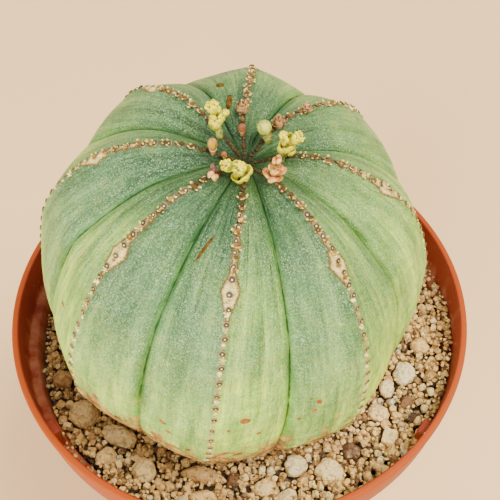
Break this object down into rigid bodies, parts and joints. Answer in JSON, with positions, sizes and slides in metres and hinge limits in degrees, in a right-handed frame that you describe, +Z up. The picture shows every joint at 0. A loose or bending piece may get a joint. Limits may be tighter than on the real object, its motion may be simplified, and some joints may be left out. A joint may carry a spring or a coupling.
{
  "type": "potted baseball plant",
  "caption": "Round ribbed succulent with small yellow flowers on its crown, growing in pumice grit in a round terracotta-coloured plastic pot.",
  "frame": {"origin": "centre of the pot's foot, on the surface that it stands on", "axes": "+Z up, -Y the front that the camera sees, +X to the right seen from the front"},
  "size_m": [0.09, 0.09, 0.1285],
  "materials": {
    "pot_plastic": "satin moulded plastic",
    "grit": "rough sandy grains",
    "pumice": "rough porous stone",
    "plant_skin": "waxy living skin with a pale bloom",
    "flower_bract": "soft fleshy scale",
    "stamens": "fine pollen-bearing points",
    "flower_stalk": "fleshy stalk",
    "aged_flower": "ageing pink-cream scale",
    "dried_flower": "dry and shrivelled",
    "bud_green": "closed fleshy bud",
    "bud_orange": "closed fleshy bud"
  },
  "bodies": {
    "root": {"pot": "pot_plastic", "grit_bed": "grit", "plant_body": "plant_skin", "pumice_stone_01": "pumice", "pumice_stone_02": "pumice", "pumice_stone_03": "pumice", "pumice_stone_04": "pumice", "pumice_stone_05": "pumice", "pumice_stone_06": "pumice", "pumice_stone_07": "pumice", "pumice_stone_08": "pumice", "pumice_stone_09": "pumice", "pumice_stone_10": "pumice", "pumice_stone_11": "pumice", "pumice_stone_12": "pumice", "pumice_stone_13": "pumice", "pumice_stone_14": "pumice", "pumice_stone_15": "pumice", "pumice_stone_16": "pumice", "pumice_stone_17": "pumice", "pumice_stone_18": "pumice", "pumice_stone_19": "pumice", "flower_back_left_stalk": "flower_stalk", "flower_back_left_cup": "flower_bract", "flower_back_left_stamens": "stamens", "flower_back_left_bract_1": "flower_bract", "flower_back_left_bract_2": "flower_bract", "flower_back_left_bract_3": "flower_bract", "flower_front_stalk": "flower_stalk", "flower_front_cup": "flower_bract", "flower_front_stamens": "stamens", "flower_front_bract_1": "flower_bract", "flower_front_bract_2": "flower_bract", "flower_front_bract_3": "flower_bract", "flower_right_stalk": "flower_stalk", "flower_right_cup": "flower_bract", "flower_right_stamens": "stamens", "flower_right_bract_1": "flower_bract", "flower_right_bract_2": "flower_bract", "flower_right_bract_3": "flower_bract", "flower_aged_stalk": "aged_flower", "flower_aged_cup": "aged_flower", "flower_aged_stamens": "dried_flower", "flower_aged_bract_1": "aged_flower", "flower_aged_bract_2": "aged_flower", "bud_green_stalk": "flower_stalk", "bud_green_head": "bud_green", "bud_tan_stalk": "flower_stalk", "bud_tan_head": "bud_orange", "bud_orange_stalk": "flower_stalk", "bud_orange_head": "bud_orange", "bud_red_stalk": "flower_stalk", "bud_red_head": "bud_orange", "withered_flower_head": "dried_flower", "withered_flower_bract": "aged_flower", "dry_head_back": "dried_flower", "dry_head_right": "dried_flower", "dry_head_far_right": "dried_flower"}
  },
  "joints": []
}
